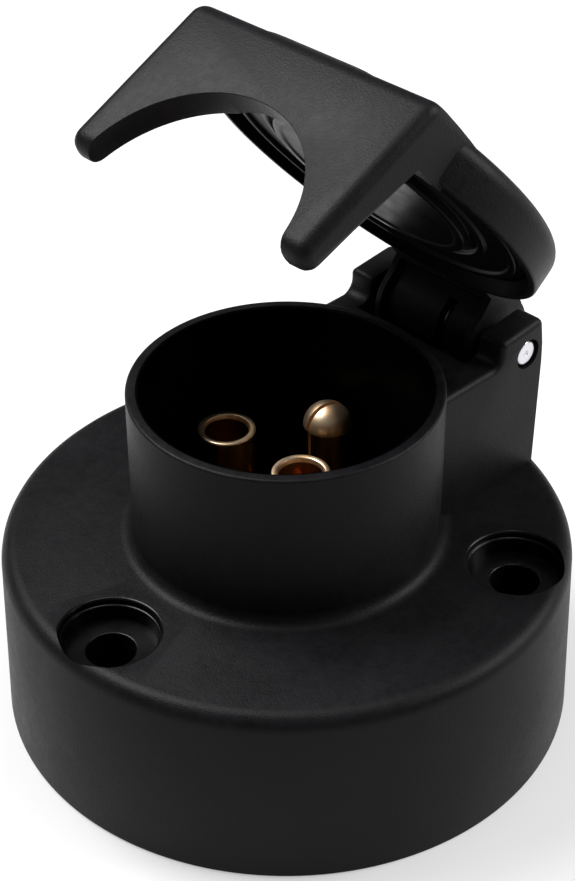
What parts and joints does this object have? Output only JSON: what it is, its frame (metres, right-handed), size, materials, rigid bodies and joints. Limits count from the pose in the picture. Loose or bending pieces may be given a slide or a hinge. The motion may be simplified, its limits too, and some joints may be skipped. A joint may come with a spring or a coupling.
{
  "type": "trailer wiring socket",
  "caption": "Round surface-mount trailer lighting socket with a sprung flap lid, a plug-retaining claw, brass tube contacts and a split pin contact.",
  "frame": {"origin": "axis of the cup on the mounting plane, at the underside of the base", "axes": "+Z out of the mouth of the cup, +Y towards the lid hinge, +X along the hinge pin"},
  "size_m": [0.0684, 0.0684, 0.0816],
  "materials": {
    "moulded_plastic": "fine-textured black moulded thermoplastic",
    "carrier_plastic": "smooth black insulating plastic",
    "rubber": "smooth black rubber",
    "brass": "turned brass with a fine lathe mark",
    "zinc_steel": "bright zinc-plated steel",
    "spring_steel": "drawn spring wire"
  },
  "bodies": {
    "housing": {"housing": "moulded_plastic", "contact_carrier": "carrier_plastic", "pin_contact": "brass", "tube_contact_1": "brass", "tube_contact_2": "brass", "tube_contact_3": "brass", "tube_contact_4": "brass", "tube_contact_5": "brass", "tube_contact_6": "brass", "terminal_screw_1": "zinc_steel", "terminal_screw_2": "zinc_steel", "terminal_screw_3": "zinc_steel", "terminal_screw_4": "zinc_steel", "terminal_screw_5": "zinc_steel", "terminal_screw_6": "zinc_steel", "terminal_screw_7": "zinc_steel", "carrier_screw_1": "zinc_steel", "carrier_screw_2": "zinc_steel", "rear_seal": "rubber", "hinge_pin": "zinc_steel", "lid_spring": "spring_steel"},
    "lid": {"lid": "moulded_plastic", "lid_seal": "rubber"}
  },
  "joints": [
    {"name": "lid_hinge", "type": "hinge", "parent": "housing", "child": "lid", "pos_m": [0, 0.0277, 0.0396], "axis": [-1, 0, 0], "range_deg": [-51.8, 48.2], "deforming": ["lid_spring"]}
  ]
}
